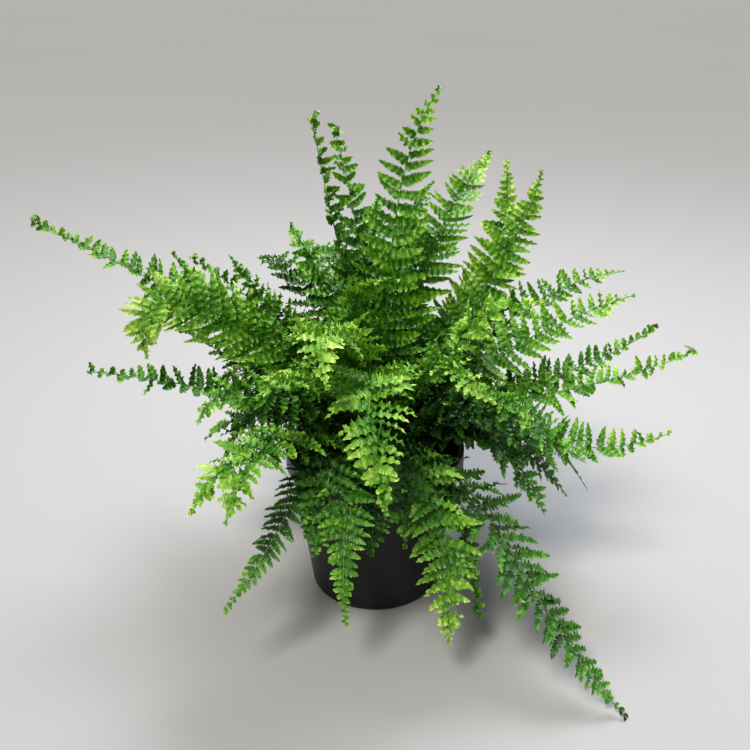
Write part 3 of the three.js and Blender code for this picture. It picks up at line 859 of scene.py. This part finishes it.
def lump(subdivisions, rng, rough):
    # a rounded stone-like shape of unit size
    mesh = bmesh.new()
    bmesh.ops.create_icosphere(mesh, subdivisions=subdivisions, radius=1.0)
    verts = np.array([v.co for v in mesh.verts])
    faces = np.array([[v.index for v in f.verts] for f in mesh.faces])
    mesh.free()
    return verts * (1 + rng.uniform(-rough, rough, (len(verts), 1))), faces


def randomTurn(rng):
    w, x, y, z = unit(rng.normal(size=4))
    return np.array([
        (1 - 2 * (y * y + z * z), 2 * (x * y - z * w), 2 * (x * z + y * w)),
        (2 * (x * y + z * w), 1 - 2 * (x * x + z * z), 2 * (y * z - x * w)),
        (2 * (x * z - y * w), 2 * (y * z + x * w), 1 - 2 * (x * x + y * y)),
    ])


def makeCrumb(plan, kind, inner, outer, rng):
    # one crumb, chip or grain, partly sunk in the bed between the rootstock and the wall
    big = rng.uniform(*kind["size"])
    radius = math.sqrt(rng.uniform(inner ** 2, (outer - big) ** 2))
    angle = rng.uniform(0, 2 * math.pi)
    stone, tris = lump(plan["stoneDetail"], rng, plan["stoneRoughness"])
    flatness = rng.uniform(*kind["flatness"])
    stone = stone * np.array([1, rng.uniform(0.5, 1), flatness]) * big
    stone = stone @ randomTurn(rng).T
    spot = polar(radius, angle, soilTop - plan["stoneSink"] + 0.3 * big)
    spot[2] += lumps((spot[0], spot[1], soilTop), plan["waves"][:1])
    return stone + spot, tris, toneColours(np.full(len(stone), rng.uniform(*kind["tones"])))


def makeSoil(plan):
    # peat crumbs, bark chips and white perlite over a rough bed
    rng = np.random.default_rng(plan["seed"])
    edge, bottom, inner = soilHigh.x / mm, soilLow.z / mm, crownRadius / mm
    outline = [(0, bottom), (potInside(bottom) - plan["wallGap"], bottom), (edge - 0.3, soilTop - 1.5)]
    outline += [(r, soilTop - plan["bedDrop"]) for r in np.linspace(edge - 0.6, 0, plan["rings"])]
    verts, quads, caps = lathe(outline, plan["around"])
    for i, point in enumerate(verts):
        if point[2] > soilTop - 1 and inner + 0.5 < math.hypot(point[0], point[1]) < edge - 0.5:
            verts[i, 2] += lumps(point, plan["waves"])
    bed = toneColours(np.full(len(verts), plan["bedTone"]))
    parts = [(verts, np.concatenate([triangles(quads), caps]), bed)]
    for name in ("peat", "bark", "perlite"):
        kind = plan[name]
        parts += [makeCrumb(plan, kind, inner + 1, edge - 1, rng) for _ in range(kind["count"])]
    points, faces, data = joined(parts)
    piece = meshPiece("soil_surface", points * mm, faces, peatMaterial, data)
    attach(piece, "root")
    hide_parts("potting_soil")


# damp peat: nearly black to mid brown from crumb to crumb, with fine fibres; perlite is off-white
peatLook = {
    "tones": [(0.0, "#150d08"), (0.3, "#2b1b10"), (0.55, "#4a301b"), (0.8, "#75512f"), (0.95, "#d8d2c6")],
    "roughness": 0.92, "fibre": 0.9, "detail": 5.0, "fineness": 0.65, "mottle": 0.12, "bump": 0.8,
    "bumpDepth": 0.4,
}
peatMaterial = makeBrownMaterial("damp peat", peatLook)
makeSoil(soilPlan)


# ---- pot

def rounded(centre, radius, start, end):
    # an arc of the outline, in degrees from the outward direction
    angle = np.radians(np.linspace(start, end, potPlan["roundSteps"]))
    return [(centre[0] + radius * math.cos(a), centre[1] + radius * math.sin(a)) for a in angle]


def potOutline(plan):
    # up the outside, over the rim and down the inside
    band = potTop - plan["bandHeight"]
    low, lip, step = plan["baseRounding"], plan["rimRounding"], plan["bandStep"]
    outline = [(0, 0.0)]
    outline += [(r, 0.0) for r in np.linspace(plan["floorInner"], plan["floorOuter"], plan["floorSteps"])]
    outline += rounded((potOutside(low) - low, low), low, -88, 0)
    for height in np.linspace(low + 1, band - step - 0.6, plan["wallSteps"]):
        ring = sum(math.exp(-((height - place) / plan["ringWidth"]) ** 2) for place in plan["ringHeights"])
        outline.append((potOutside(height) - plan["ringDepth"] * ring, height))
    outline.append((potOutside(band - step), band - step))
    outline += rounded((potRim - 0.5, band + 0.3), 0.5, -60, 0)
    outline.append((potRim, potTop - lip - 1))
    outline += rounded((potRim - lip, potTop - lip), lip, 0, 90)
    outline += rounded((potInside(potTop) + lip, potTop - lip), lip, 90, 180)
    floor = plan["floor"]
    outline += [(potInside(h), h) for h in np.linspace(potTop - 4, floor + 0.5, plan["insideSteps"])]
    radii = np.linspace(potInside(floor) - 0.8, plan["floorInner"], plan["floorSteps"])
    outline += [(r, floor) for r in radii]
    return outline + [(0, floor)]


def drillHole(piece, plan, angle):
    drill = bmesh.new()
    radius = plan["holeRadius"] * mm
    bmesh.ops.create_cone(
        drill, cap_ends=True, segments=plan["drillSides"], radius1=radius, radius2=radius,
        depth=4 * plan["floor"] * mm,
    )
    circle = plan["holeCircle"] * mm
    bmesh.ops.translate(drill, vec=(circle * math.cos(angle), circle * math.sin(angle), 0), verts=drill.verts)
    mesh = bpy.data.meshes.new("drill")
    drill.to_mesh(mesh)
    drill.free()
    tool = bpy.data.objects.new("drill", mesh)
    scene.collection.objects.link(tool)
    cut = piece.modifiers.new("hole", "BOOLEAN")
    cut.object = tool
    cut.operation = "DIFFERENCE"
    cut.solver = "EXACT"
    view = bpy.context.evaluated_depsgraph_get()
    mesh = bpy.data.meshes.new_from_object(piece.evaluated_get(view))
    piece.modifiers.clear()
    piece.data = mesh
    bpy.data.objects.remove(tool)


def smoothByAngle(mesh, degrees=38):
    limit = math.cos(math.radians(degrees))
    work = bmesh.new()
    work.from_mesh(mesh)
    for edge in work.edges:
        if len(edge.link_faces) == 2:
            edge.smooth = edge.link_faces[0].normal.dot(edge.link_faces[1].normal) > limit
    for face in work.faces:
        face.smooth = True
    work.to_mesh(mesh)
    work.free()


def makePot(plan):
    # injection-moulded: a rim band with a small step under it, and two faint rings round the wall
    verts, quads, caps = lathe(potOutline(plan), plan["around"])
    piece = meshPiece("nursery_pot", verts * mm, [quads, caps], potMaterial)
    for k in range(plan["holes"]):
        drillHole(piece, plan, 2 * math.pi * k / plan["holes"])
    smoothByAngle(piece.data)
    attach(piece, "root")
    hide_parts("pot")


# sizes in mm; the dust starts at a share of the pot's height
potLook = {
    "plastic": [(0.0, "#17181a"), (1.0, "#232528")], "cloud": 14, "grain": 0.5, "grainDepth": 0.1,
    "dust": "#5b5146", "speck": 3.2, "dustFrom": 0.62, "dustMost": 0.35, "speckRange": (0.54, 0.72),
    "roughness": 0.42, "glossier": 0.05, "duller": 0.1,
}


def makePotMaterial(look):
    # black polypropylene: low satin gloss, fine mould grain, a little dried soil near the rim
    material, tree, output = newMaterial("black pot plastic")
    place = objectPlace(tree)
    cloud = noiseTexture(tree, place, look["cloud"], detail=4.0)
    grain = noiseTexture(tree, place, look["grain"], detail=2.0)
    body = rampColour(tree, cloud, look["plastic"])
    height = addNode(tree, "ShaderNodeSeparateXYZ", {0: place}).outputs[2]
    rimRange = (look["dustFrom"] * potTop * mm, potTop * mm)
    nearRim = remap(tree, height, rimRange, (0.0, look["dustMost"]))
    specks = noiseTexture(tree, place, look["speck"], detail=6.0, rough=0.7)
    patches = remap(tree, specks, look["speckRange"], fullRange)
    dusty = addNode(tree, "ShaderNodeMath", {0: patches, 1: nearRim}, operation="MULTIPLY").outputs[0]
    sheen = (look["roughness"] - look["glossier"], look["roughness"] + look["duller"])
    plastic = addNode(
        tree, "ShaderNodeBsdfPrincipled",
        {
            "Base Color": mixColour(tree, dusty, body, linear(look["dust"])), "IOR": 1.49,
            "Roughness": remap(tree, cloud, fullRange, sheen),
            "Normal": bump(tree, grain, strength=0.12, depth=look["grainDepth"]),
        },
    )
    tree.links.new(plastic.outputs[0], output.inputs["Surface"])
    return material


potMaterial = makePotMaterial(potLook)
makePot(potPlan)
print("soil and pot ready")


# ---- stage and light

stagePlan = {"paper": [(0.0, "#a9a8a8"), (1.0, "#a4a3a3")], "cloud": 1000.0, "size": 24.0}


def makeFloor(plan):
    # matt paper on a wide flat floor, very slightly uneven in colour
    material, tree, output = newMaterial("paperFloor")
    cloud = noiseTexture(tree, objectPlace(tree), plan["cloud"], detail=1.0)
    tint = rampColour(tree, cloud, plan["paper"])
    paper = addNode(tree, "ShaderNodeBsdfPrincipled", {"Base Color": tint, "Roughness": 0.9})
    tree.links.new(paper.outputs[0], output.inputs["Surface"])
    half = plan["size"] / 2
    corners = np.array([(-half, -half, 0), (half, -half, 0), (half, half, 0), (-half, half, 0)])
    floor = meshPiece("floor", corners, [np.array([[0, 1, 2, 3]])], material)


# soft daylight from a high window at the front left, with a weaker lamp over the top
lightPlan = {
    "window": {"elevation": 56.0, "azimuth": -28.0, "strength": 2.7, "spread": 16.0, "colour": "#fffaf2"},
    "overhead": {"place": (0.12, 0.3, 0.85), "size": 0.4, "power": 6.0, "colour": "#f3f7ff"},
    # from the walls up to the ceiling
    "room": [(0.0, "#a2a4a6"), (0.2, "#a2a4a6"), (0.4, "#6b6d6f"), (0.9, "#b6babd")],
}


def makeLights(plan):
    window = bpy.data.lights.new("window", "SUN")
    window.energy = plan["window"]["strength"]
    window.angle = math.radians(plan["window"]["spread"])
    window.color = linear(plan["window"]["colour"])[:3]
    stand = bpy.data.objects.new("window", window)
    tilt = math.radians(90 - plan["window"]["elevation"])
    stand.rotation_euler = (tilt, 0.0, math.radians(plan["window"]["azimuth"]))
    scene.collection.objects.link(stand)
    lamp = bpy.data.lights.new("overhead", "AREA")
    lamp.shape = "DISK"
    lamp.size = plan["overhead"]["size"]
    lamp.energy = plan["overhead"]["power"]
    lamp.color = linear(plan["overhead"]["colour"])[:3]
    stand = bpy.data.objects.new("overhead", lamp)
    stand.location = plan["overhead"]["place"]
    aim = Vector((0, 0, crownTop))
    stand.rotation_euler = (aim - stand.location).to_track_quat("-Z", "Y").to_euler()
    scene.collection.objects.link(stand)
    world = bpy.data.worlds.new("studio")
    world.use_nodes = True
    tree = world.node_tree
    facing = addNode(tree, "ShaderNodeTexCoord").outputs["Generated"]
    height = addNode(tree, "ShaderNodeSeparateXYZ", {0: facing}).outputs["Z"]
    tree.links.new(rampColour(tree, height, plan["room"]), tree.nodes["Background"].inputs["Color"])
    scene.world = world


makeFloor(stagePlan)
makeLights(lightPlan)
scene.view_settings.view_transform = "Standard"
scene.view_settings.look = "Medium High Contrast"
print("stage and lights ready")
